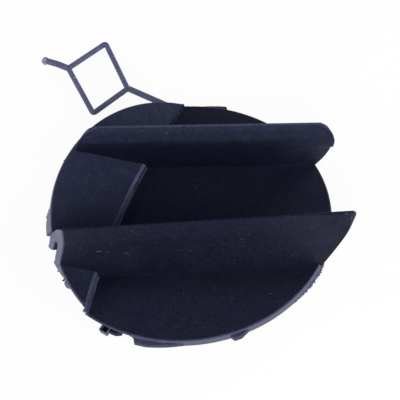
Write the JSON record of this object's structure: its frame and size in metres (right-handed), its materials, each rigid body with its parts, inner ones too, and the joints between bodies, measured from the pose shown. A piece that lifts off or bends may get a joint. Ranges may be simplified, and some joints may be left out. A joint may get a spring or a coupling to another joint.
{
  "type": "bumper tow hook cover",
  "caption": "Round snap-in cover for a bumper's tow eye opening, with hooked rails on its back and a thin looped tether.",
  "frame": {"origin": "centre of the disc on its outer face", "axes": "+X along the snap rails, +Y across them towards the tether, +Z out of the back face, which is the side that goes into the bumper"},
  "size_m": [0.0957, 0.1092, 0.0281],
  "materials": {
    "cover_plastic": "fine matt grain, unpainted"
  },
  "bodies": {
    "root": {"tow_hook_cover": "cover_plastic"}
  },
  "joints": []
}
